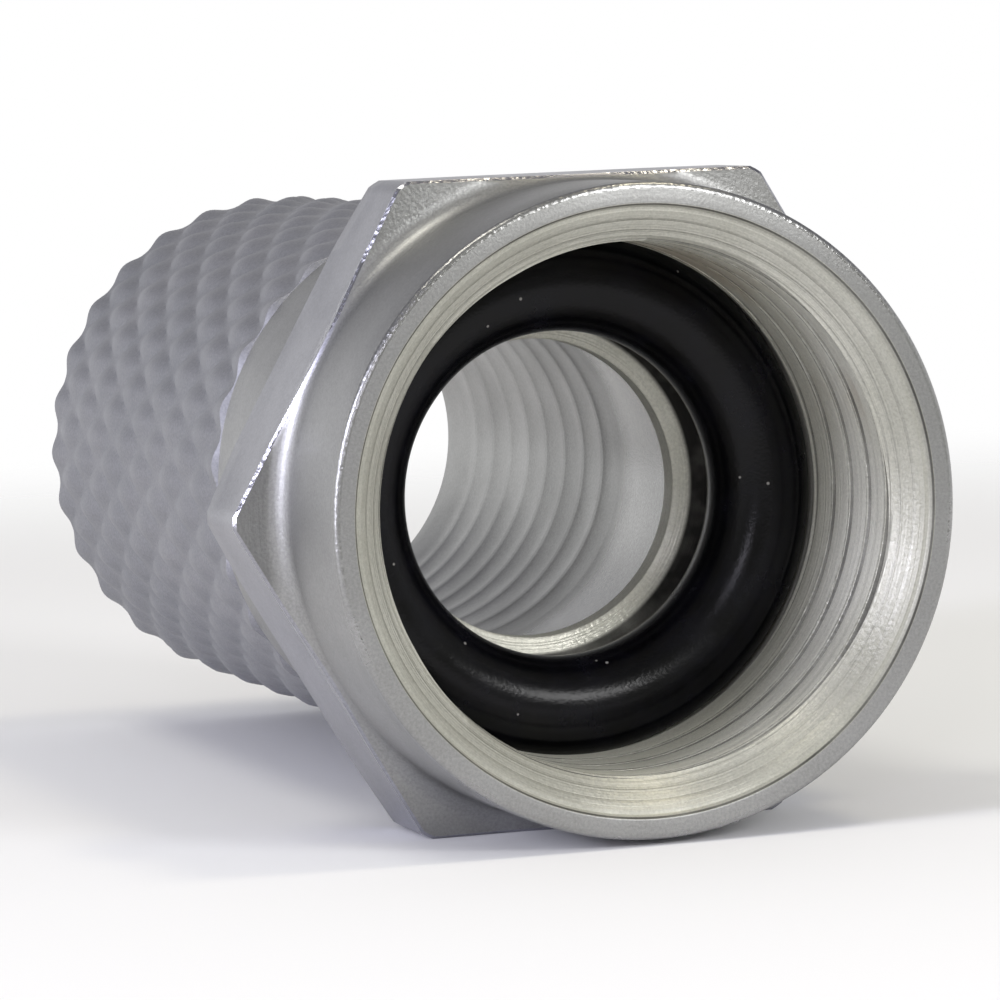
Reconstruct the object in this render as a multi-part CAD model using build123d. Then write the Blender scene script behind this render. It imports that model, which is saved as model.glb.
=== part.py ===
from build123d import *
from math import cos, pi, radians, sin, tan
import os

# Screw-on coaxial connector: one turned and knurled brass body with a rubber ring inside it.
# Sizes are in millimetres. A depth is measured from the front face towards the cable end.
# The diameters are built outwards from the thread, so each wall keeps its thickness.

# Socket in the front for a 3/8-32 thread, drawn at the diameter of the thread's flat crests.
# Behind the thread it widens into a pocket for the sealing ring. Its floor is the cone that
# the point of the drill leaves, and its depth is where that cone ends.
thread_crest_diameter = 8.92
lead_in_width = 0.49
lead_in_length = 0.47
socket_mouth_bevel = 0.15
seal_pocket_undercut = 0.16
floor_corner_bevel = 0.3
drill_point_angle = 135.0
socket_depth = 5.9

# Body, outside: a round collar, a hexagon that stands just proud of it, and a round neck
overall_length = 21.3
front_rim_width = 0.35
front_edge_bevel = 0.1
collar_length = 2.8
collar_fillet = 0.38
flats_above_collar = 0.1
hex_corner_cut = 0.0586
hex_thickness = 1.95
hex_back_bevel = 0.5
hex_back_bevel_angle = 30.0
neck_wall = 0.21
neck_length = 4.45
neck_fillet = 0.25

# Diamond knurl on the rear barrel, rolled into a blank of the neck's diameter
knurl_crest_height = 0.08
knurl_root_depth = 0.04
knurl_end_step = 0.15
knurl_end_bevel = 0.15
knurl_diamond_length = 2.15
diamonds_around = 30

# Thin web between the socket and the cable bore, with a hole for the cable's core. Its front
# is a shallow dish round the hole, and its back the cone of a second drill.
web_hole_diameter = 5.26
web_hole_length = 0.5
web_dish_width = 0.37
web_dish_length = 0.06

# Cable bore, open at the rear
cable_bore_diameter = 6.5
rear_mouth_width = 0.25
rear_mouth_length = 0.6

# Rubber sealing ring, pushed past the thread into its pocket until it lies on the floor. The
# thread runs out just behind the ring's front, so the ring stands this far into it.
seal_section = 1.78
seal_side_clearance = 0.02
seal_seat_clearance = 0.01
seal_reach_into_thread = 0.1082

# A cutter runs on past an open end by this much
overrun = 1.0

# Radii that follow from the widths above, from the thread outwards
thread_radius = thread_crest_diameter / 2
pocket_radius = thread_radius + seal_pocket_undercut
lead_in_radius = thread_radius + lead_in_width
mouth_radius = lead_in_radius + socket_mouth_bevel
collar_radius = mouth_radius + front_rim_width
flat_radius = collar_radius + flats_above_collar
corner_radius = flat_radius / cos(radians(30)) - hex_corner_cut
neck_radius = pocket_radius + neck_wall
hole_radius = web_hole_diameter / 2
rim_radius = hole_radius + web_dish_width
cable_radius = cable_bore_diameter / 2
seal_radius = pocket_radius - seal_side_clearance - seal_section / 2

# Depths that follow from the lengths above, the seal's from the cone that it lies against
hex_back_depth = collar_length + hex_thickness
knurl_front_depth = hex_back_depth + neck_length
hole_front_depth = socket_depth + web_dish_length
hole_back_depth = hole_front_depth + web_hole_length
floor_slope = radians(90 - drill_point_angle / 2)
cable_bore_depth = hole_back_depth + (cable_radius - hole_radius) * tan(floor_slope)
seal_stand_off = (seal_section / 2 + seal_seat_clearance) / cos(floor_slope)
seal_depth = socket_depth - (seal_radius - rim_radius) * tan(floor_slope) - seal_stand_off
thread_end_depth = seal_depth - seal_section / 2 + seal_reach_into_thread


def half_section(*points):
    """Face bounded by (radius, depth) points, on the plane through the connector's axis."""
    return make_face(Polyline(*[(radius, 0, depth) for radius, depth in points], close=True))


def corner(section, radius, depth):
    """The corner of a half section that lies at this radius and depth."""
    return section.vertices().sort_by_distance((radius, 0, depth))[0]


def hex_bar():
    """Hexagonal bar with two of its flats level, long enough for all in front of the knurl."""
    flats = RegularPolygon(flat_radius, 6, major_radius=False)
    return extrude(flats, knurl_front_depth)


def turned_front():
    """Collar, hexagon blank and neck, as the lathe leaves them before the flats count."""
    bevel_length = hex_back_bevel * tan(radians(hex_back_bevel_angle))
    section = half_section(
        (0, 0),
        (collar_radius - front_edge_bevel, 0),
        (collar_radius, front_edge_bevel),
        (collar_radius, collar_length),
        (corner_radius, collar_length),
        (corner_radius, hex_back_depth - bevel_length),
        (corner_radius - hex_back_bevel, hex_back_depth),
        (neck_radius, hex_back_depth),
        (neck_radius, knurl_front_depth),
        (0, knurl_front_depth),
    )
    section = fillet(corner(section, collar_radius, collar_length), collar_fillet)
    section = fillet(corner(section, neck_radius, hex_back_depth), neck_fillet)
    return revolve(section, Axis.Z)


def knurl_ring(depth, even_radius, odd_radius):
    """Points round the barrel at one depth, whose radius changes from one to the next."""
    steps = 2 * diamonds_around
    ring = []
    for step in range(steps):
        angle = 2 * pi * step / steps
        radius = even_radius if step % 2 == 0 else odd_radius
        ring.append(Vector(radius * cos(angle), radius * sin(angle), depth))
    return ring


def knurl_band(front, back, even_is_low_in_front):
    """Triangles between two rings, folded along the line that joins their low points."""
    steps = len(front)
    faces = []
    for step in range(steps):
        after = (step + 1) % steps
        a, b, c, d = front[step], front[after], back[after], back[step]
        fold_from_a = (step % 2 == 0) == even_is_low_in_front
        halves = [(a, b, c), (a, c, d)] if fold_from_a else [(a, b, d), (b, c, d)]
        faces += [Face(Wire.make_polygon(half)) for half in halves]
    return faces


def knurled_barrel():
    """Barrel covered with pyramids: every second point of every second ring is a crest."""
    crest = neck_radius + knurl_crest_height
    root = neck_radius - knurl_root_depth
    end = neck_radius - knurl_end_step
    first = knurl_front_depth + knurl_end_bevel
    last = overall_length - knurl_end_bevel
    rows = max(2, round((last - first) / (knurl_diamond_length / 2)))
    rings = [knurl_ring(knurl_front_depth, end, end)]
    low_even = []
    for row in range(rows + 1):
        depth = first + (last - first) * row / rows
        even_is_low = (rows - row) % 2 == 1
        low_even.append(even_is_low)
        radii = (root, crest) if even_is_low else (crest, root)
        rings.append(knurl_ring(depth, *radii))
    rings.append(knurl_ring(overall_length, end, end))
    folds = [not low_even[0]] + low_even
    faces = [Face(Wire.make_polygon(rings[0])), Face(Wire.make_polygon(rings[-1]))]
    for front, back, fold in zip(rings, rings[1:], folds):
        faces += knurl_band(front, back, fold)
    return Solid(Shell(faces))


def bore_cutter():
    """All that is bored out along the axis: socket, web hole and cable bore."""
    floor_corner = pocket_radius - floor_corner_bevel
    floor_corner_depth = socket_depth - (floor_corner - rim_radius) * tan(floor_slope)
    rear_radius = cable_radius + rear_mouth_width
    section = half_section(
        (0, -overrun),
        (mouth_radius, -overrun),
        (mouth_radius, 0),
        (lead_in_radius, socket_mouth_bevel),
        (thread_radius, socket_mouth_bevel + lead_in_length),
        (thread_radius, thread_end_depth),
        (pocket_radius, thread_end_depth + seal_pocket_undercut),
        (pocket_radius, floor_corner_depth - floor_corner_bevel),
        (floor_corner, floor_corner_depth),
        (rim_radius, socket_depth),
        (hole_radius, hole_front_depth),
        (hole_radius, hole_back_depth),
        (cable_radius, cable_bore_depth),
        (cable_radius, overall_length - rear_mouth_length),
        (rear_radius, overall_length),
        (rear_radius, overall_length + overrun),
        (0, overall_length + overrun),
    )
    return revolve(section, Axis.Z)


def connector_body():
    """The one-piece metal body."""
    return (turned_front() & hex_bar()) + knurled_barrel() - bore_cutter()


def sealing_ring():
    """Round rubber ring that fills its pocket's width and lies against the conical floor."""
    return Pos(0, 0, seal_depth) * Torus(seal_radius, seal_section / 2)


def laid_down(shape):
    """Lays the connector on a flat of its hexagon, with its front facing -Y."""
    return Pos(0, -overall_length / 2, flat_radius) * Rot(-90, 0, 0) * shape


os.makedirs("parts", exist_ok=True)
export_step(laid_down(connector_body()), "parts/connector_body.step")
export_step(laid_down(sealing_ring()), "parts/sealing_ring.step")
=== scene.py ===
import bmesh
import bpy
from math import acos, cos, degrees, pi, radians, sin, sqrt, tan
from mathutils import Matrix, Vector


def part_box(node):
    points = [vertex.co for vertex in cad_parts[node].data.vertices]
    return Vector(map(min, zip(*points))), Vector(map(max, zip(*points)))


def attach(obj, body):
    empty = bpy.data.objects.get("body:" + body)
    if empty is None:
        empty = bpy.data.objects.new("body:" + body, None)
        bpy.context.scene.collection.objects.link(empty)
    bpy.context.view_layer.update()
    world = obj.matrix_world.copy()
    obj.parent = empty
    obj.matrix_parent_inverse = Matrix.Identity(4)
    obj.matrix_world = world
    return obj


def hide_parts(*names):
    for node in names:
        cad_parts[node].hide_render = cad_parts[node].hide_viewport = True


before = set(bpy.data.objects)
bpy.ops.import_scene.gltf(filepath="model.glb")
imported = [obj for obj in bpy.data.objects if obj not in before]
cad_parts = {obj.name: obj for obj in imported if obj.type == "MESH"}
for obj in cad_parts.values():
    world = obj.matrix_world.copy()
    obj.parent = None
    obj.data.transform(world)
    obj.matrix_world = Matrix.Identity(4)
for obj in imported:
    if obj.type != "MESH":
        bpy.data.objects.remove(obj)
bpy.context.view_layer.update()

# Sizes are in millimetres until a point is placed. The connector's axis runs along Y, and a
# depth is measured from the front face of the collar towards the cable end.
mm = 0.001
bodyLow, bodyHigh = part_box("connector_body")
frontY = bodyLow[1]
axisZ = (bodyLow[2] + bodyHigh[2]) / 2
columns = 360                   # round the axis, in all parts of the body, so that edges meet
weldReach = 0.002               # the body's parts are joined where points are closer than this
sliverSize = 0.0005             # shorter edges are closed up
noiseLow, noiseHigh = 0.3, 0.7  # nearly all values of a noise texture lie between these


def place(radius, angle, depth):
    x, z = radius * mm * cos(angle), radius * mm * sin(angle)
    return Vector((x, frontY + depth * mm, axisZ + z))


def linearColour(hexColour):
    levels = [int(hexColour[i:i + 2], 16) / 255 for i in (1, 3, 5)]
    return [v / 12.92 if v <= 0.04045 else ((v + 0.055) / 1.055) ** 2.4 for v in levels] + [1.0]


def addNode(tree, kind, settings=None, inputs=None):
    node = tree.nodes.new(kind)
    for name, value in (settings or {}).items():
        setattr(node, name, value)
    for key, value in (inputs or {}).items():
        if isinstance(value, bpy.types.NodeSocket):
            tree.links.new(value, node.inputs[key])
        else:
            node.inputs[key].default_value = value
    return node


nickel = {
    "grainSize": 0.05,          # grain of the plated surface
    "grainTone": (0.86, 1.12),  # its darkest and lightest
    "hazeSize": 2.5,
    "hazeDrift": (0.35, 0.7),   # noise values between which the haze comes in
    "glintSize": 0.09,          # facets that sparkle where an edge was burnished
    "glintDepth": 0.016,
    "glintPolish": 0.35,        # taken off the roughness there
    "paintedMouthDepths": (0.45, 0.75),  # the painted shade at the socket's mouth ends between these
    "stain": "#84694A",         # brown film left by cutting oil
    "stainDrift": (0.42, 0.62),
    "stainDepths": (0.9, 3.8),
    "stainHeights": (0.6, 2.6), # above the axis, where it starts and is full
    "shadeAndDirt": "#15130F",          # painted shade with some dirt in the grooves, painted shade on the floor, a dark line round the lip
    "shadeAndDirtDrift": (0.38, 0.58),
    "shadeAndDirtLeast": 0.75,          # share of the painted shade and dirt where it is thinnest
    "shadeAndDirtRoughness": 0.4,       # added to the roughness
    "shadeAndDirtMetallic": 0.1,
    "shadeAndDirtPlaces": (             # radii where it starts, is full, is still full and ends, then
                                # its front and back depth, and its share
        # painted shade in the thread's grooves, with some dirt
        (4.474, 4.486, 4.58, 4.62, 0.62, 3.9, 0.78),
        # painted shade on the drilled floor between the hole's rim and the ring, where the ring
        # shades it
        (2.88, 2.97, 4.70, 4.80, 5.0, 6.2, 1.0),
        # a dark line round the inner edge of the lip
        (5.055, 5.07, 5.085, 5.10, -0.01, 0.14, 0.85),
    ),
}
plainFinish = {                 # what holds for a finish unless it says otherwise
    "stretch": 0.0,             # how far the lathe's marks draw a highlight out across them
    "markSpacing": 0.09,
    "markDepth": 0.0,
    "film": 0.0,                # share of the metal hidden by a dull film
    "stain": 0.0,
    "shadeAndDirt": 0.0,
    "paintedMouthTone": 1.0,           # brightness painted on the mouth, beside the rest: below 1 it is painted shade
    "burnished": None,          # depths where a drilled part ends, and its share of the roughness
    "glints": (),               # least radius, middle depth, reach either way and strength
}
finishes = {
    "Nickel plate, turned": {
        **plainFinish, "plate": "#A2A2A2", "haze": "#969695", "roughness": (0.36, 0.46),
        "stretch": 0.5, "markDepth": 0.003, "grainDepth": 0.004,
        "glints": ((5.34, 0.05, 0.1, 0.35), (5.75, 2.8, 0.06, 0.12)),
    },
    "Nickel plate, drawn flats": {
        **plainFinish, "plate": "#A2A2A9", "haze": "#94949B", "roughness": (0.3, 0.4),
        "grainDepth": 0.002, "glints": ((5.5, 2.78, 0.105, 0.35),),
    },
    "Nickel plate, knurled": {
        **plainFinish, "plate": "#96969B", "haze": "#8E8F94", "roughness": (0.52, 0.6),
        "grainDepth": 0.003, "film": 0.12,
    },
    "Nickel plate, bored socket": {
        # The socket's plate is painted much lighter than the plate outside, as painted light on
        # the walls deep in the socket, and its mouth, which the lamps light, is painted darker
        # again
        **plainFinish, "plate": "#D2D1C6", "haze": "#C3C2B6", "roughness": (0.36, 0.48),
        "stretch": 0.85, "markSpacing": 0.11, "markDepth": 0.04, "grainDepth": 0.006,
        "film": 0.58, "stain": 0.4, "shadeAndDirt": 1.0, "paintedMouthTone": 0.70,
        "glints": ((2.6, 5.94, 0.05, 0.2), (4.45, 0.4, 0.23, 0.25), (4.463, 2.2, 1.56, 0.6)),
    },
    "Nickel plate, cable bore": {
        **plainFinish, "plate": "#A3A3A2", "haze": "#989897", "roughness": (0.3, 0.38),
        "stretch": 0.4, "markDepth": 0.001, "grainDepth": 0.004, "burnished": (9.6, 10.5, 0.5),
    },
}


def nickelPlate(name, finish):
    # Nickel electroplated on brass: grey metal, softened by the grain of the plate and, where
    # the lathe cut it, by fine marks round the axis that draw a highlight out across them.
    material = bpy.data.materials.new(name)
    material.use_nodes = True
    tree = material.node_tree
    surface = tree.nodes["Principled BSDF"]
    surface.inputs["Metallic"].default_value = 1 - finish["film"]
    surface.inputs["Anisotropic"].default_value = finish["stretch"]
    surface.inputs["Anisotropic Rotation"].default_value = 0.25
    coords = addNode(tree, "ShaderNodeTexCoord").outputs["Object"]
    centred = addNode(tree, "ShaderNodeMapping", None,
                      {"Vector": coords, "Location": (0, -frontY, -axisZ)}).outputs[0]
    side, depth, height = addNode(tree, "ShaderNodeSeparateXYZ", None, {0: centred}).outputs
    across = addNode(tree, "ShaderNodeCombineXYZ", None, {"X": side, "Z": height}).outputs[0]
    radius = addNode(tree, "ShaderNodeVectorMath", {"operation": "LENGTH"},
                     {0: across}).outputs["Value"]
    down = addNode(tree, "ShaderNodeMath", {"operation": "MULTIPLY"},
                   {0: height, 1: -1}).outputs[0]
    tangent = addNode(tree, "ShaderNodeCombineXYZ", None, {"X": down, "Z": side}).outputs[0]
    tree.links.new(tangent, surface.inputs["Tangent"])
    grain = addNode(tree, "ShaderNodeTexNoise", None,
                    {"Vector": centred, "Scale": 1 / (nickel["grainSize"] * mm),
                     "Detail": 3.0, "Roughness": 0.65}).outputs[0]
    haze = addNode(tree, "ShaderNodeTexNoise", None,
                   {"Vector": centred, "Scale": 1 / (nickel["hazeSize"] * mm),
                    "Detail": 4.0, "Roughness": 0.6}).outputs[0]

    covers = []
    if finish["stain"]:
        # Brown film in drifts on the upper part of the thread
        low, high = nickel["stainDepths"]
        stain = addNode(tree, "ShaderNodeMath", {"operation": "COMPARE"},
                        {0: depth, 1: (low + high) / 2 * mm,
                         2: (high - low) / 2 * mm}).outputs[0]
        low, high = nickel["stainHeights"]
        above = addNode(tree, "ShaderNodeMapRange", {"interpolation_type": "SMOOTHSTEP"},
                        {"Value": height, "From Min": low * mm, "From Max": high * mm}).outputs[0]
        low, high = nickel["stainDrift"]
        drift = addNode(tree, "ShaderNodeMapRange", None,
                        {"Value": haze, "From Min": low, "From Max": high,
                         "To Max": finish["stain"]}).outputs[0]
        for part in (above, drift):
            stain = addNode(tree, "ShaderNodeMath", {"operation": "MULTIPLY"},
                            {0: stain, 1: part}).outputs[0]
        covers.append((stain, nickel["stain"]))
    if finish["shadeAndDirt"]:
        # Painted shade with some dirt in the thread's grooves, painted shade on the floor round
        # the hole, a dark line round the lip
        low, high = nickel["shadeAndDirtDrift"]
        patches = addNode(tree, "ShaderNodeMapRange", None,
                          {"Value": haze, "From Min": low, "From Max": high,
                           "To Min": nickel["shadeAndDirtLeast"] * finish["shadeAndDirt"],
                           "To Max": finish["shadeAndDirt"]}).outputs[0]
        shadeAndDirt = 0.0
        for low, lowFull, highFull, high, front, back, share in nickel["shadeAndDirtPlaces"]:
            here = addNode(tree, "ShaderNodeMath", {"operation": "COMPARE"},
                           {0: depth, 1: (front + back) / 2 * mm,
                            2: (back - front) / 2 * mm}).outputs[0]
            for start, full in ((low, lowFull), (high, highFull)):
                edge = addNode(tree, "ShaderNodeMapRange", {"interpolation_type": "SMOOTHSTEP"},
                               {"Value": radius, "From Min": start * mm, "From Max": full * mm,
                                "To Max": sqrt(share)}).outputs[0]
                here = addNode(tree, "ShaderNodeMath", {"operation": "MULTIPLY"},
                               {0: here, 1: edge}).outputs[0]
            shadeAndDirt = addNode(tree, "ShaderNodeMath", {"operation": "MULTIPLY_ADD"},
                           {0: here, 1: patches, 2: shadeAndDirt}).outputs[0]
        covers.append((shadeAndDirt, nickel["shadeAndDirt"]))

    low, high = nickel["hazeDrift"]
    hazed = addNode(tree, "ShaderNodeMapRange", None,
                    {"Value": haze, "From Min": low, "From Max": high}).outputs[0]
    colour = addNode(tree, "ShaderNodeMix", {"data_type": "RGBA"},
                     {0: hazed, 6: linearColour(finish["plate"]),
                      7: linearColour(finish["haze"])}).outputs[2]
    darkest, lightest = nickel["grainTone"]
    tone = addNode(tree, "ShaderNodeMapRange", None,
                   {"Value": grain, "From Min": noiseLow, "From Max": noiseHigh,
                    "To Min": darkest, "To Max": lightest}).outputs[0]
    # Painted shade on the socket's mouth, which is lit more than the walls deeper in
    if finish["paintedMouthTone"] < 1:
        low, high = nickel["paintedMouthDepths"]
        mouth = addNode(tree, "ShaderNodeMapRange", None,
                        {"Value": depth, "From Min": low * mm, "From Max": high * mm,
                         "To Min": finish["paintedMouthTone"], "To Max": 1.0}).outputs[0]
        tone = addNode(tree, "ShaderNodeMath", {"operation": "MULTIPLY"},
                       {0: tone, 1: mouth}).outputs[0]
    colour = addNode(tree, "ShaderNodeVectorMath", {"operation": "SCALE"},
                     {0: colour, "Scale": tone}).outputs[0]
    for amount, over in covers:
        colour = addNode(tree, "ShaderNodeMix", {"data_type": "RGBA"},
                         {0: amount, 6: colour, 7: linearColour(over)}).outputs[2]
    tree.links.new(colour, surface.inputs["Base Color"])

    low, high = finish["roughness"]
    roughness = addNode(tree, "ShaderNodeMapRange", None,
                        {"Value": haze, "From Min": noiseLow, "From Max": noiseHigh,
                         "To Min": low, "To Max": high}).outputs[0]
    if finish["burnished"]:
        low, high, share = finish["burnished"]
        smoother = addNode(tree, "ShaderNodeMapRange", None,
                           {"Value": depth, "From Min": low * mm, "From Max": high * mm,
                            "To Min": share, "To Max": 1.0}).outputs[0]
        roughness = addNode(tree, "ShaderNodeMath", {"operation": "MULTIPLY"},
                            {0: roughness, 1: smoother}).outputs[0]
    # Where shade and dirt are painted, the surface is also made rougher and less metallic
    if finish["shadeAndDirt"]:
        roughness = addNode(tree, "ShaderNodeMath", {"operation": "MULTIPLY_ADD"},
                            {0: shadeAndDirt, 1: nickel["shadeAndDirtRoughness"], 2: roughness}).outputs[0]
        metallic = addNode(tree, "ShaderNodeMapRange", None,
                           {"Value": shadeAndDirt, "To Min": 1 - finish["film"],
                            "To Max": nickel["shadeAndDirtMetallic"]}).outputs[0]
        tree.links.new(metallic, surface.inputs["Metallic"])

    normal = addNode(tree, "ShaderNodeBump", None,
                     {"Height": grain, "Strength": 1.0,
                      "Distance": finish["grainDepth"] * mm}).outputs[0]
    if finish["markDepth"]:
        # The marks are the same all round: they change with the radius and the depth alone
        turned = addNode(tree, "ShaderNodeCombineXYZ", None, {"X": radius, "Y": depth}).outputs[0]
        marks = addNode(tree, "ShaderNodeTexNoise", None,
                        {"Vector": turned, "Scale": 1 / (finish["markSpacing"] * mm),
                         "Detail": 2.0, "Roughness": 0.6}).outputs[0]
        normal = addNode(tree, "ShaderNodeBump", None,
                         {"Height": marks, "Strength": 1.0, "Distance": finish["markDepth"] * mm,
                          "Normal": normal}).outputs[0]
    if finish["glints"]:
        facets = addNode(tree, "ShaderNodeTexVoronoi", None,
                         {"Vector": centred,
                          "Scale": 1 / (nickel["glintSize"] * mm)}).outputs["Distance"]
    for start, middle, reach, strength in finish["glints"]:
        here = addNode(tree, "ShaderNodeMath", {"operation": "COMPARE"},
                       {0: depth, 1: middle * mm, 2: reach * mm}).outputs[0]
        outside = addNode(tree, "ShaderNodeMath", {"operation": "GREATER_THAN"},
                          {0: radius, 1: start * mm}).outputs[0]
        for part in (outside, strength):
            here = addNode(tree, "ShaderNodeMath", {"operation": "MULTIPLY"},
                           {0: here, 1: part}).outputs[0]
        roughness = addNode(tree, "ShaderNodeMath", {"operation": "MULTIPLY_ADD"},
                            {0: here, 1: -nickel["glintPolish"], 2: roughness}).outputs[0]
        normal = addNode(tree, "ShaderNodeBump", None,
                         {"Height": facets, "Strength": here, "Normal": normal,
                          "Distance": nickel["glintDepth"] * mm}).outputs[0]
    tree.links.new(roughness, surface.inputs["Roughness"])
    tree.links.new(normal, surface.inputs["Normal"])
    return material


rubber = {
    "black": "#040406",
    "bloom": "#0E0E16",         # bluish bloom of wax on old rubber
    "bloomSize": 1.1,
    "bloomDrift": (0.42, 0.75), # noise values between which the bloom comes in
    "dust": "#8F8D8A",
    "dustSpacing": 0.55,
    "dustEdge": (0.06, 0.035),  # a speck fades in between these shares of the spacing
    "gloss": 0.2,
    "roughness": (0.2, 0.3),
    "grainSize": 0.06,
    "grainDepth": 0.004,
}


def mouldedRubber():
    # Nitrile rubber, moulded: near black and satin, with a faint bloom and a little dust
    material = bpy.data.materials.new("Nitrile rubber, moulded")
    material.use_nodes = True
    tree = material.node_tree
    surface = tree.nodes["Principled BSDF"]
    surface.inputs["Specular IOR Level"].default_value = rubber["gloss"]
    coords = addNode(tree, "ShaderNodeTexCoord").outputs["Object"]
    grain = addNode(tree, "ShaderNodeTexNoise", None,
                    {"Vector": coords, "Scale": 1 / (rubber["grainSize"] * mm),
                     "Detail": 3.0}).outputs[0]
    bloom = addNode(tree, "ShaderNodeTexNoise", None,
                    {"Vector": coords, "Scale": 1 / (rubber["bloomSize"] * mm),
                     "Detail": 5.0, "Roughness": 0.7}).outputs[0]
    specks = addNode(tree, "ShaderNodeTexVoronoi", None,
                     {"Vector": coords,
                      "Scale": 1 / (rubber["dustSpacing"] * mm)}).outputs["Distance"]
    colour = linearColour(rubber["black"])
    for value, span, over in ((bloom, "bloomDrift", "bloom"), (specks, "dustEdge", "dust")):
        start, full = rubber[span]
        amount = addNode(tree, "ShaderNodeMapRange", None,
                         {"Value": value, "From Min": start, "From Max": full}).outputs[0]
        colour = addNode(tree, "ShaderNodeMix", {"data_type": "RGBA"},
                         {0: amount, 6: colour, 7: linearColour(rubber[over])}).outputs[2]
    tree.links.new(colour, surface.inputs["Base Color"])
    low, high = rubber["roughness"]
    roughness = addNode(tree, "ShaderNodeMapRange", None,
                        {"Value": bloom, "From Min": noiseLow, "From Max": noiseHigh,
                         "To Min": low, "To Max": high}).outputs[0]
    tree.links.new(roughness, surface.inputs["Roughness"])
    bump = addNode(tree, "ShaderNodeBump", None,
                   {"Height": grain, "Strength": 1.0,
                    "Distance": rubber["grainDepth"] * mm}).outputs[0]
    tree.links.new(bump, surface.inputs["Normal"])
    return material


nickelMaterials = [nickelPlate(name, finish) for name, finish in finishes.items()]
turnedPlate, flatPlate, knurledPlate, socketPlate, cablePlate = range(len(nickelMaterials))
rubberMaterial = mouldedRubber()
print("materials:", len(nickelMaterials), "finishes of the plate, and rubber")

body = {
    "mouthRadius": 5.10,        # front face starts here
    "collarRadius": 5.45,
    "frontEdge": 0.1,
    "collarLength": 2.8,
    "collarFillet": 0.38,
    "collarRows": (0.9, 1.7),   # depths of the collar's rows of faces
    "flatRadius": 5.55,         # half the distance across the hexagon's flats
    "cornerRadius": 6.35,
    "hexEdge": 0.05,            # burnished edge between the collar's fillet and the flats
    "hexBack": 4.75,
    "backBevelRadius": 5.85,
    "backBevelAngle": 30,
    "neckRadius": 4.83,
    "neckFillet": 0.25,
    "neckEdge": 0.05,           # where the neck steps down to the knurl
    "support": 0.03,            # rows this far from an edge hold its shading
    "blunt": (0.02, 0.008),     # width and depth of the break on an edge
    "sharpAngle": 31,           # an edge bent by more than this is drawn sharp
}
thread = {                      # 3/8-32 thread in the socket
    "Start Depth": 0.15,
    "End Depth": 3.85,
    "Mouth Radius": 4.95,
    "Cone Length": 0.47,
    "Bore Radius": 4.46,
    "Pitch": 0.794,
    "Groove At Zero": 0.58,
    "Groove Width": 0.14,
    "Root Width": 0.04,
    "Groove Depth": 0.07,
    "Crest Rounding": 0.22,     # share of the groove's depth lost at the crest's edges
    "Fade": 0.25,
    "Rows Per Pitch": 8,
}
grip = {                        # coarse thread that bites the cable's jacket
    "Start Depth": 10.4,
    "End Depth": 19.7,
    "Mouth Radius": 3.25,
    "Cone Length": 1.0,
    "Bore Radius": 3.25,
    "Pitch": 1.06,
    "Groove At Zero": 10.9,
    "Groove Width": 0.84,
    "Root Width": 0.20,
    "Groove Depth": 0.019,
    "Crest Rounding": 0.22,
    "Fade": 0.6,
    "Rows Per Pitch": 8,
}
knurl = {                       # diamond knurl, rolled
    "Front Depth": 9.2,
    "Back Depth": 21.3,
    "End Bevel": 0.15,
    "End Radius": 4.68,
    "Root Radius": 4.79,
    "Crest Radius": 4.91,
    "Valley Height": 0.06,      # share of the pyramids' height at which the valleys stay
    "Valley Rounding": 0.18,
    "Half Rows": 11,
    "Steps": 6,                 # grid steps to half a diamond, both ways
}


def newTree(name, sizes):
    tree = bpy.data.node_groups.new(name, "GeometryNodeTree")
    for label, value in sizes.items():
        kind = "NodeSocketInt" if isinstance(value, int) else "NodeSocketFloat"
        tree.interface.new_socket(name=label, in_out="INPUT", socket_type=kind)
    tree.interface.new_socket(name="Material", in_out="INPUT", socket_type="NodeSocketMaterial")
    tree.interface.new_socket(name="Geometry", in_out="OUTPUT", socket_type="NodeSocketGeometry")
    return tree


def wrappedGrid(tree, sizes, rows, steps):
    # A grid with rows along the axis and columns round it, whose last column lies on the first.
    # Each line of rows and steps becomes a math node: the name of its result, the operation,
    # and what it works on, which are names from above, inputs of the tree or numbers.
    inputs = addNode(tree, "NodeGroupInput")
    terms = {label: inputs.outputs[label] for label in sizes}
    terms["index"] = addNode(tree, "GeometryNodeInputIndex").outputs[0]
    for name, operation, *values in rows + steps:
        node = addNode(tree, "ShaderNodeMath", {"operation": operation},
                       {i: terms.get(v, v) for i, v in enumerate(values)})
        terms[name] = node.outputs[0]
    grid = addNode(tree, "GeometryNodeMeshGrid", None,
                   {"Vertices X": terms["rows"], "Vertices Y": columns + 1})
    point = addNode(tree, "ShaderNodeCombineXYZ", None,
                    {"X": terms["x"], "Y": terms["y"], "Z": terms["z"]})
    wrapped = addNode(tree, "GeometryNodeSetPosition", None,
                      {"Geometry": grid.outputs["Mesh"], "Position": point.outputs[0]})
    welded = addNode(tree, "GeometryNodeMergeByDistance", None,
                     {"Geometry": wrapped.outputs[0], "Distance": sliverSize * mm})
    real = addNode(tree, "GeometryNodeRealizeInstances", None, {0: welded.outputs[0]})
    finished = addNode(tree, "GeometryNodeSetMaterial", None,
                       {"Geometry": real.outputs[0], "Material": inputs.outputs["Material"]})
    addNode(tree, "NodeGroupOutput", None, {0: finished.outputs[0]})


gridPlaces = [
    ("rowPlace", "DIVIDE", "index", columns + 1),
    ("row", "FLOOR", "rowPlace"),
    ("column", "MODULO", "index", columns + 1),
]
roundTheAxis = [
    ("cosine", "COSINE", "angle"),
    ("sine", "SINE", "angle"),
    ("radius", "MULTIPLY", "radius", mm),
    ("x", "MULTIPLY", "radius", "cosine"),
    ("z", "MULTIPLY_ADD", "radius", "sine", axisZ),
    ("y", "MULTIPLY_ADD", "depth", mm, frontY),
]


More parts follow.
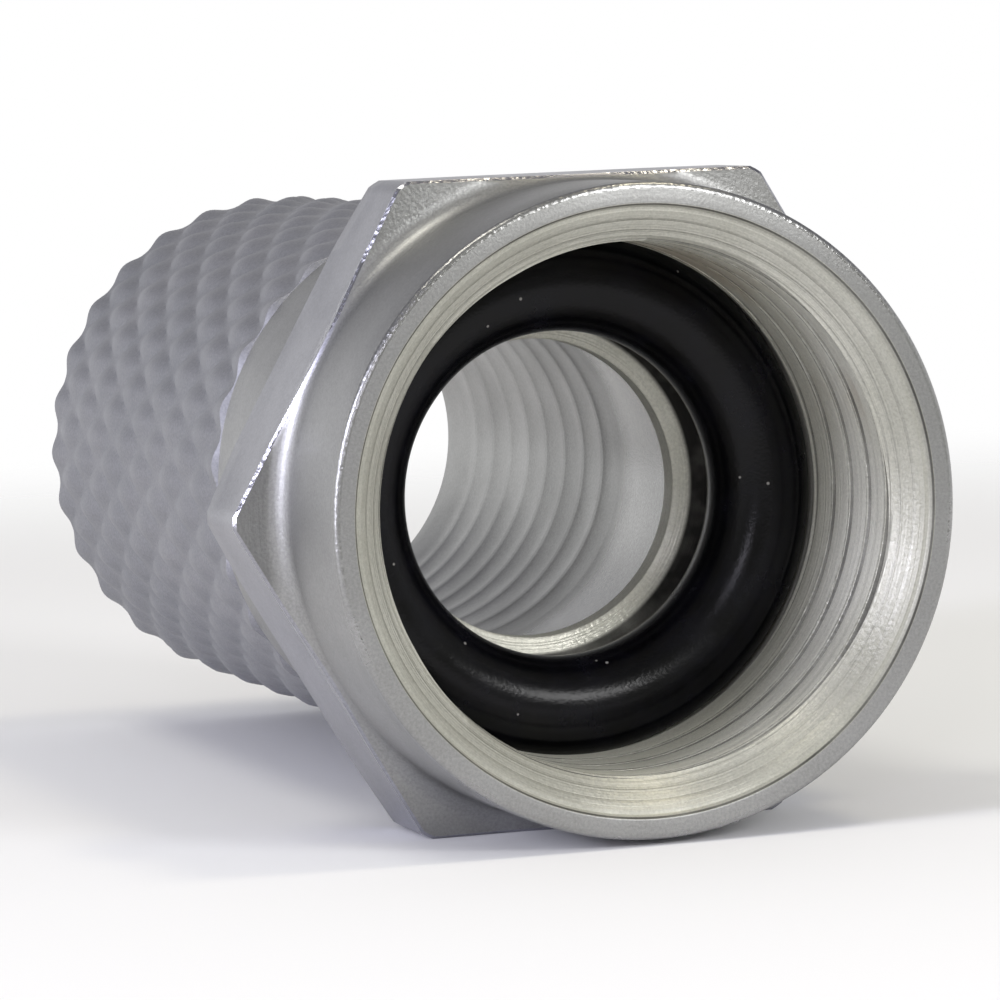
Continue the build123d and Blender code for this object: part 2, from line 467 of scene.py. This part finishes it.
def boreThreadTree():
    tree = newTree("Thread cut in a bore", thread)
    rows = [
        ("length", "SUBTRACT", "End Depth", "Start Depth"),
        ("turns", "DIVIDE", "length", "Pitch"),
        ("turns", "CEIL", "turns"),
        ("turns", "ADD", "turns", 3),
        ("rows", "MULTIPLY", "turns", "Rows Per Pitch"),
    ]
    steps = gridPlaces + [
        ("turn", "DIVIDE", "column", columns),
        ("angle", "MULTIPLY", "turn", -2 * pi),         # right-handed
        # where in its pitch the row lies: two rows for the root, the rest for the crest
        ("k", "MODULO", "row", "Rows Per Pitch"),
        ("whole", "SUBTRACT", "row", "k"),
        ("whole", "DIVIDE", "whole", "Rows Per Pitch"),
        ("isRoot", "LESS_THAN", "k", 1.5),
        ("rootSide", "MULTIPLY_ADD", "k", 1.0, -0.5),
        ("rootPlace", "MULTIPLY", "rootSide", "Root Width"),
        ("crestRow", "SUBTRACT", "k", 2),
        ("crestRows", "SUBTRACT", "Rows Per Pitch", 3),
        ("crestShare", "DIVIDE", "crestRow", "crestRows"),
        # the crest's rows crowd towards its edges, and its first and last are a little rounded
        ("crestShare", "MULTIPLY_ADD", "crestShare", pi, -pi / 2),
        ("crestShare", "SINE", "crestShare"),
        ("edgeness", "ABSOLUTE", "crestShare"),
        ("isEdge", "GREATER_THAN", "edgeness", 0.99),   # the first and the last reach 1
        ("isCrest", "SUBTRACT", 1, "isRoot"),
        ("rounding", "MULTIPLY", "isEdge", "isCrest"),
        ("lowered", "MULTIPLY_ADD", "rounding", "Crest Rounding", "isRoot"),
        ("crestShare", "MULTIPLY_ADD", "crestShare", 0.5, 0.5),
        ("crestWidth", "SUBTRACT", "Pitch", "Groove Width"),
        ("halfGroove", "MULTIPLY", "Groove Width", 0.5),
        ("crestPlace", "MULTIPLY_ADD", "crestShare", "crestWidth", "halfGroove"),
        ("change", "SUBTRACT", "rootPlace", "crestPlace"),
        ("place", "MULTIPLY_ADD", "isRoot", "change", "crestPlace"),
        # depth along the helix, held between the two ends
        ("before", "SUBTRACT", "Groove At Zero", "Start Depth"),
        ("before", "DIVIDE", "before", "Pitch"),
        ("before", "CEIL", "before"),
        ("helix", "ADD", "whole", "turn"),
        ("helix", "SUBTRACT", "helix", "before"),
        ("helix", "SUBTRACT", "helix", 1),
        ("depth", "MULTIPLY_ADD", "helix", "Pitch", "place"),
        ("depth", "ADD", "depth", "Groove At Zero"),
        ("depth", "MAXIMUM", "depth", "Start Depth"),
        ("depth", "MINIMUM", "depth", "End Depth"),
        # the groove runs out at both ends
        ("fromStart", "SUBTRACT", "depth", "Start Depth"),
        ("toEnd", "SUBTRACT", "End Depth", "depth"),
        ("fade", "MINIMUM", "fromStart", "toEnd"),
        ("fade", "DIVIDE", "fade", "Fade"),
        ("fade", "MINIMUM", "fade", 1),
        ("groove", "MULTIPLY", "Groove Depth", "fade"),
        ("wall", "MULTIPLY_ADD", "lowered", "groove", "Bore Radius"),
        # the mouth is a cone, and the wall takes over where the cone gets narrower
        ("coneWidth", "SUBTRACT", "Bore Radius", "Mouth Radius"),
        ("coneShare", "DIVIDE", "fromStart", "Cone Length"),
        ("cone", "MULTIPLY_ADD", "coneShare", "coneWidth", "Mouth Radius"),
        ("radius", "MAXIMUM", "wall", "cone"),
    ] + roundTheAxis
    wrappedGrid(tree, thread, rows, steps)
    return tree


def knurlTree():
    tree = newTree("Rolled diamond knurl", knurl)
    rows = [
        ("cells", "MULTIPLY", "Half Rows", "Steps"),
        ("rows", "ADD", "cells", 3),
    ]
    steps = gridPlaces + [
        ("angle", "MULTIPLY", "column", 2 * pi / columns),
        # the first and the last row are the barrel's ends, and all others lie in the knurl
        ("inner", "SUBTRACT", "row", 1),
        ("isFirst", "LESS_THAN", "row", 0.5),
        ("isLast", "GREATER_THAN", "inner", "cells"),
        ("inner", "MAXIMUM", "inner", 0),
        ("inner", "MINIMUM", "inner", "cells"),
        ("share", "DIVIDE", "inner", "cells"),
        ("length", "SUBTRACT", "Back Depth", "Front Depth"),
        ("length", "MULTIPLY_ADD", "End Bevel", -2, "length"),
        ("side", "SUBTRACT", "isLast", "isFirst"),
        ("side", "ADD", "side", 1),
        ("depth", "MULTIPLY_ADD", "share", "length", "Front Depth"),
        ("depth", "MULTIPLY_ADD", "side", "End Bevel", "depth"),
        # two families of valleys cross, and each is a cosine wave along a diagonal
        ("u", "DIVIDE", "column", "Steps"),
        ("v", "DIVIDE", "inner", "Steps"),
        ("v", "SUBTRACT", "v", "Half Rows"),
        ("rising", "ADD", "u", "v"),
        ("falling", "SUBTRACT", "u", "v"),
    ]
    for wave in ("rising", "falling"):
        steps += [
            (wave, "PINGPONG", wave, 1),
            (wave, "MULTIPLY", wave, pi / 2),
            (wave, "COSINE", wave),
        ]
    steps += [
        ("height", "MULTIPLY", "rising", "falling"),
        ("height", "SMOOTH_MAX", "height", "Valley Height", "Valley Rounding"),
        ("rise", "SUBTRACT", "Crest Radius", "Root Radius"),
        ("wall", "MULTIPLY_ADD", "height", "rise", "Root Radius"),
        ("isEnd", "ADD", "isFirst", "isLast"),
        ("step", "SUBTRACT", "End Radius", "wall"),
        ("radius", "MULTIPLY_ADD", "isEnd", "step", "wall"),
    ] + roundTheAxis
    wrappedGrid(tree, knurl, rows, steps)
    return tree


def addSleeve(bm, tree, sizes, plate):
    # Adds the tree's result as plain mesh
    holder = bpy.data.objects.new("sleeve", bpy.data.meshes.new("sleeve"))
    bpy.context.collection.objects.link(holder)
    modifier = holder.modifiers.new("sleeve", "NODES")
    modifier.node_group = tree
    for item in tree.interface.items_tree:
        if item.in_out == "INPUT":
            modifier[item.identifier] = sizes.get(item.name, nickelMaterials[plate])
    evaluated = holder.evaluated_get(bpy.context.evaluated_depsgraph_get())
    mesh = bpy.data.meshes.new_from_object(evaluated)
    holder.modifiers.remove(modifier)
    bpy.data.objects.remove(holder)
    start = len(bm.faces)
    bm.from_mesh(mesh)
    bm.faces.ensure_lookup_table()
    for face in bm.faces[start:]:
        face.material_index = plate


def hexRadius(angle):
    fromFlat = angle % (pi / 3) - pi / 6
    return min(body["cornerRadius"], body["flatRadius"] / cos(fromFlat))


def arcPoints(centre, size, start, end, count):
    # (radius, depth) points: at 0 degrees nearest the axis, at 90 towards the cable end
    turns = [radians(start + (end - start) * i / count) for i in range(count + 1)]
    return [(centre[0] - size * cos(t), centre[1] + size * sin(t)) for t in turns]


def outsideProfile(angle):
    # Three runs of (radius, depth) points that join: the collar up to the hexagon's burnished
    # edge, that edge with the flat, and the back bevel, the back face and the neck.
    b, hexR, knurlDepth = body, hexRadius(angle), knurl["Front Depth"]
    collarR, front, fillet = b["collarRadius"], b["frontEdge"], b["collarFillet"]
    neckR, edge, support = b["neckRadius"], b["hexEdge"], b["support"]
    bluntWidth, bluntDepth = b["blunt"]

    collar = [(b["mouthRadius"], 0), (b["mouthRadius"] + bluntWidth, 0)]
    collar += arcPoints((collarR - front, front), front, 270, 180, 4)
    collar += [(collarR, depth) for depth in b["collarRows"]]
    # the fillet in front of the hexagon is cut off where a flat is lower than the fillet
    reach = min(fillet, hexR - edge - collarR)
    stop = degrees(acos((fillet - reach) / fillet))
    collar += arcPoints((collarR + fillet, b["collarLength"] - fillet), fillet, 0, stop, 8)
    filletR, faceDepth = collar[-1]
    collar += [(max(filletR, hexR - edge - support), faceDepth), (hexR - edge, faceDepth)]

    bevelled = max(0, hexR - b["backBevelRadius"])
    flatEnd = b["hexBack"] - bevelled * tan(radians(b["backBevelAngle"]))
    breakDepth = flatEnd + bluntDepth if bevelled > support else flatEnd
    flat = [collar[-1], (hexR, faceDepth + edge), (hexR, faceDepth + edge + support)]
    flat += [(hexR, faceDepth + (flatEnd - faceDepth) * i / 4) for i in (1, 2, 3)]
    flat += [(hexR, flatEnd - support), (hexR - bluntWidth, breakDepth)]

    neck = [flat[-1], (min(hexR - bluntWidth, b["backBevelRadius"]), b["hexBack"])]
    neck += arcPoints((neckR + b["neckFillet"], b["hexBack"] + b["neckFillet"]),
                      b["neckFillet"], 270, 360, 6)
    neckDepth = neck[-1][1]
    neck += [(neckR, neckDepth + (knurlDepth - neckDepth) * i / 4) for i in (1, 2, 3)]
    neck += [(neckR, knurlDepth - b["neckEdge"]), (neckR - b["neckEdge"], knurlDepth),
             (knurl["End Radius"], knurlDepth)]
    return collar, flat, neck


def addSkin(bm, profile, plate=0, around=columns, closed=False):
    # One strip of quads along the profile for each step round the axis
    loops = []
    for i in range(around):
        angle = 2 * pi * i / around
        loops.append([bm.verts.new(place(r, angle, d)) for r, d in profile(angle)])
    for i, loop in enumerate(loops):
        after = loops[(i + 1) % around]
        for k in range(len(loop) if closed else len(loop) - 1):
            n = (k + 1) % len(loop)
            face = bm.faces.new((loop[k], loop[n], after[n], after[k]))
            face.material_index = plate


pocketR, holeR, holeBack = 4.62, 2.63, 6.42     # the ring's pocket, and the hole through the web
walls = {                       # finish and (radius, depth) points of what has no thread
    "rounded lip": (socketPlate, (
        (body["mouthRadius"], 0), (5.085, 0.008), (5.06, 0.05), (5.045, 0.10), (5.03, 0.125),
        (5.005, 0.138), (4.975, 0.142), (thread["Mouth Radius"], thread["Start Depth"]),
    )),
    "pocket, drilled floor and web": (socketPlate, (
        (thread["Bore Radius"], thread["End Depth"]), (pocketR, 4.01), (pocketR, 5.027),
        (4.53, 5.24), (4.32, 5.353), (3.9, 5.527), (3.4, 5.734), (3.02, 5.892), (2.98, 5.904),
        (2.68, 5.952), (holeR, 5.99), (holeR, 6.2), (holeR, holeBack),
    )),
    "drilled part of the cable bore": (cablePlate, (
        (holeR, holeBack), (2.66, 6.472), (3.0, 6.613), (3.22, 6.704), (3.25, 6.74),
        (3.25, 7.6), (3.25, 9.0), (grip["Mouth Radius"], grip["Start Depth"]),
    )),
    "rear mouth and rear face": (cablePlate, (
        (grip["Bore Radius"], grip["End Depth"]), (3.25, 20.2), (3.25, 20.66), (3.27, 20.74),
        (3.47, 21.22), (3.52, 21.3), (4.0, 21.3), (knurl["End Radius"], knurl["Back Depth"]),
    )),
}


def foldKnurl(bm):
    # A bent quad of the knurl is split along its lower diagonal, so that valleys stay straight
    def radiusOf(vert):
        return sqrt(vert.co.x ** 2 + (vert.co.z - axisZ) ** 2)
    margin = 0.05
    start = frontY + (knurl["Front Depth"] + margin) * mm
    inside = (knurl["End Radius"] - margin) * mm
    quads = [f for f in bm.faces if len(f.verts) == 4
             and all(v.co.y > start and radiusOf(v) > inside for v in f.verts)]
    for quad in quads:
        a, b, c, d = quad.verts
        if radiusOf(a) + radiusOf(c) < radiusOf(b) + radiusOf(d):
            bmesh.utils.face_split(quad, a, c)
        else:
            bmesh.utils.face_split(quad, b, d)


def makePiece(name, bm, materials, sharpAngle, seams=()):
    # A seam is a pair of finishes that meet at a sharp edge, however flat the edge is
    bmesh.ops.recalc_face_normals(bm, faces=bm.faces)
    for face in bm.faces:
        face.smooth = True
    for edge in bm.edges:
        finishesHere = {face.material_index for face in edge.link_faces}
        edge.smooth = edge.calc_face_angle(0) < radians(sharpAngle) and finishesHere not in seams
    mesh = bpy.data.meshes.new(name)
    bm.to_mesh(mesh)
    bm.free()
    for material in materials:
        mesh.materials.append(material)
    piece = bpy.data.objects.new(name, mesh)
    bpy.context.collection.objects.link(piece)
    print(name, len(mesh.polygons), "faces")
    return piece


def connectorBody():
    bm = bmesh.new()
    for part, plate in enumerate((turnedPlate, flatPlate, turnedPlate)):
        addSkin(bm, lambda angle: outsideProfile(angle)[part], plate)
    for plate, points in walls.values():
        addSkin(bm, lambda angle: points, plate)
    threadTree = boreThreadTree()
    for tree, sizes, plate in ((threadTree, thread, socketPlate), (threadTree, grip, cablePlate),
                               (knurlTree(), knurl, knurledPlate)):
        addSleeve(bm, tree, sizes, plate)
    bmesh.ops.remove_doubles(bm, verts=bm.verts, dist=weldReach * mm)
    bmesh.ops.dissolve_degenerate(bm, edges=bm.edges, dist=sliverSize * mm)
    foldKnurl(bm)
    print("open edges:", sum(not e.is_manifold for e in bm.edges))
    piece = makePiece("connector_body_plated", bm, nickelMaterials, body["sharpAngle"],
                      ({knurledPlate, cablePlate}, {knurledPlate, turnedPlate}))
    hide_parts("connector_body")
    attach(piece, "root")
    return piece


ring = {
    "radius": 3.71,             # of the middle of the section
    "section": 1.78,
    "depth": 4.632,
    "around": 200,
    "through": 48,
    "sharpAngle": 60,
}


def sealingRing():
    bm = bmesh.new()
    size = ring["section"] / 2
    turns = [2 * pi * k / ring["through"] for k in range(ring["through"])]
    points = [(ring["radius"] + size * cos(t), ring["depth"] + size * sin(t)) for t in turns]
    addSkin(bm, lambda angle: points, around=ring["around"], closed=True)
    piece = makePiece("sealing_ring_rubber", bm, [rubberMaterial], ring["sharpAngle"])
    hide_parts("sealing_ring")
    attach(piece, "root")
    return piece


connectorBody()
sealingRing()

studio = {
    "floor": "#EBEBED",
    "floorRadius": 90,
    "floorFade": (38, 84),      # the floor runs out into the white behind it
    "floorSegments": 96,
    "floorRoughness": 0.9,
    "floorGloss": 0.1,
    "horizon": "#FFFFFF",
    "ceiling": "#94949A",
    "ceilingRise": (0.12, 0.55),  # how far up a ray points where the ceiling starts and is full
    "room": "#A0A098",          # behind the camera
    "roomBehind": (-0.35, -0.9),  # the same for the room, along the axis
    "fill": "#F5F5F4",
    "fillStrength": 0.63,
    "lamps": (                  # name, place, width, height, watts, colour
        ("key", (-180, -66, 56), 55, 130, 0.16, "#EEEEFF"),
        ("spark", (-172, -62, 70), 22, 22, 0.07, "#E9E9FF"),
        ("top", (-62, -24, 175), 50, 50, 0.06, "#FFFCEE"),
        ("warm", (62, -30, 172), 30, 30, 0.045, "#FFF5D6"),
        ("front", (60, -150, 75), 50, 40, 0.10, "#FFFFFF"),
        ("side", (-71, -158, 51), 12, 50, 0.03, "#F1EFFF"),
    ),
}


def studioFloor():
    bm = bmesh.new()
    bmesh.ops.create_circle(bm, cap_ends=True, segments=studio["floorSegments"],
                            radius=studio["floorRadius"] * mm)
    mesh = bpy.data.meshes.new("studio_floor")
    bm.to_mesh(mesh)
    bm.free()
    floor = bpy.data.objects.new("studio_floor", mesh)
    bpy.context.collection.objects.link(floor)
    material = bpy.data.materials.new("Pale studio paper")
    material.use_nodes = True
    tree = material.node_tree
    paper = tree.nodes["Principled BSDF"]
    paper.inputs["Base Color"].default_value = linearColour(studio["floor"])
    paper.inputs["Roughness"].default_value = studio["floorRoughness"]
    paper.inputs["Specular IOR Level"].default_value = studio["floorGloss"]
    coords = addNode(tree, "ShaderNodeTexCoord").outputs["Object"]
    distance = addNode(tree, "ShaderNodeVectorMath", {"operation": "LENGTH"},
                       {0: coords}).outputs["Value"]
    start, end = studio["floorFade"]
    fade = addNode(tree, "ShaderNodeMapRange", {"interpolation_type": "SMOOTHSTEP"},
                   {"Value": distance, "From Min": start * mm, "From Max": end * mm}).outputs[0]
    clear = addNode(tree, "ShaderNodeBsdfTransparent").outputs[0]
    mixed = addNode(tree, "ShaderNodeMixShader", None,
                    {0: fade, 1: paper.outputs[0], 2: clear}).outputs[0]
    tree.links.new(mixed, tree.nodes["Material Output"].inputs["Surface"])
    mesh.materials.append(material)


def studioLamps():
    middle = Vector((0, 0, axisZ))
    for name, spot, width, height, watts, colour in studio["lamps"]:
        lamp = bpy.data.lights.new(name, "AREA")
        lamp.shape = "RECTANGLE"
        lamp.size = width * mm
        lamp.size_y = height * mm
        lamp.energy = watts
        lamp.color = linearColour(colour)[:3]
        holder = bpy.data.objects.new(name, lamp)
        holder.location = Vector(spot) * mm
        holder.rotation_euler = (middle - holder.location).to_track_quat("-Z", "Y").to_euler()
        bpy.context.collection.objects.link(holder)


def studioWorld():
    # White all round at the height of the horizon for what is seen and mirrored, darker
    # towards the ceiling and the room, and a soft even fill for the rest.
    world = bpy.data.worlds.new("studio")
    bpy.context.scene.world = world
    world.use_nodes = True
    tree = world.node_tree
    tree.nodes.clear()
    direction = addNode(tree, "ShaderNodeTexCoord").outputs["Generated"]
    split = addNode(tree, "ShaderNodeSeparateXYZ", None, {0: direction})
    seen = linearColour(studio["horizon"])
    for axis, span, over in (("Z", "ceilingRise", "ceiling"), ("Y", "roomBehind", "room")):
        start, full = studio[span]
        amount = addNode(tree, "ShaderNodeMapRange", {"interpolation_type": "SMOOTHSTEP"},
                         {"Value": split.outputs[axis], "From Min": start,
                          "From Max": full}).outputs[0]
        seen = addNode(tree, "ShaderNodeMix", {"data_type": "RGBA"},
                       {0: amount, 6: seen, 7: linearColour(studio[over])}).outputs[2]
    backdrop = addNode(tree, "ShaderNodeBackground", None, {"Color": seen, "Strength": 1.0})
    fill = addNode(tree, "ShaderNodeBackground", None,
                   {"Color": linearColour(studio["fill"]), "Strength": studio["fillStrength"]})
    path = addNode(tree, "ShaderNodeLightPath")
    direct = path.outputs["Is Camera Ray"]
    for ray in ("Is Glossy Ray", "Is Transmission Ray"):
        direct = addNode(tree, "ShaderNodeMath", {"operation": "MAXIMUM"},
                         {0: direct, 1: path.outputs[ray]}).outputs[0]
    mixed = addNode(tree, "ShaderNodeMixShader", None,
                    {0: direct, 1: fill.outputs[0], 2: backdrop.outputs[0]})
    addNode(tree, "ShaderNodeOutputWorld", None, {"Surface": mixed.outputs[0]})


camera = {
    "lens": 192.5,
    "sensor": 36,
    "near": 5,
    "distance": 88.2,           # from the middle of the front face
    "yaw": -20.094,             # left of the axis, in degrees
    "pitch": 5.048,
    "roll": -2.028,
    "pan": 1.612,               # the front face stands this far right of the picture's middle
    "tilt": -0.132,
}


def photoCamera():
    turns = ("yaw", "pitch", "roll", "pan", "tilt")
    yaw, pitch, roll, pan, tilt = [radians(camera[name]) for name in turns]
    outward = Vector((sin(yaw) * cos(pitch), -cos(yaw) * cos(pitch), sin(pitch)))
    front = Vector((0, frontY, axisZ))
    ahead = -outward
    right = ahead.cross(Vector((0, 0, 1))).normalized()
    up = right.cross(ahead)
    right, up = right * cos(roll) + up * sin(roll), up * cos(roll) - right * sin(roll)
    ahead, right = ahead * cos(pan) - right * sin(pan), right * cos(pan) + ahead * sin(pan)
    ahead, up = ahead * cos(tilt) - up * sin(tilt), up * cos(tilt) + ahead * sin(tilt)
    lens = bpy.data.cameras.new("photo camera")
    lens.lens = camera["lens"]
    lens.sensor_width = camera["sensor"]
    lens.clip_start = camera["near"] * mm
    holder = bpy.data.objects.new("photo camera", lens)
    turn = holder.matrix_world.copy()
    for i in range(3):
        turn[i][0], turn[i][1], turn[i][2] = right[i], up[i], -ahead[i]
        turn[i][3] = (front + outward * camera["distance"] * mm)[i]
    holder.matrix_world = turn
    bpy.context.collection.objects.link(holder)
    bpy.context.scene.camera = holder


studioFloor()
studioLamps()
studioWorld()
photoCamera()
bpy.context.scene.view_settings.view_transform = "Standard"
print("studio: floor, lamps, world and camera")
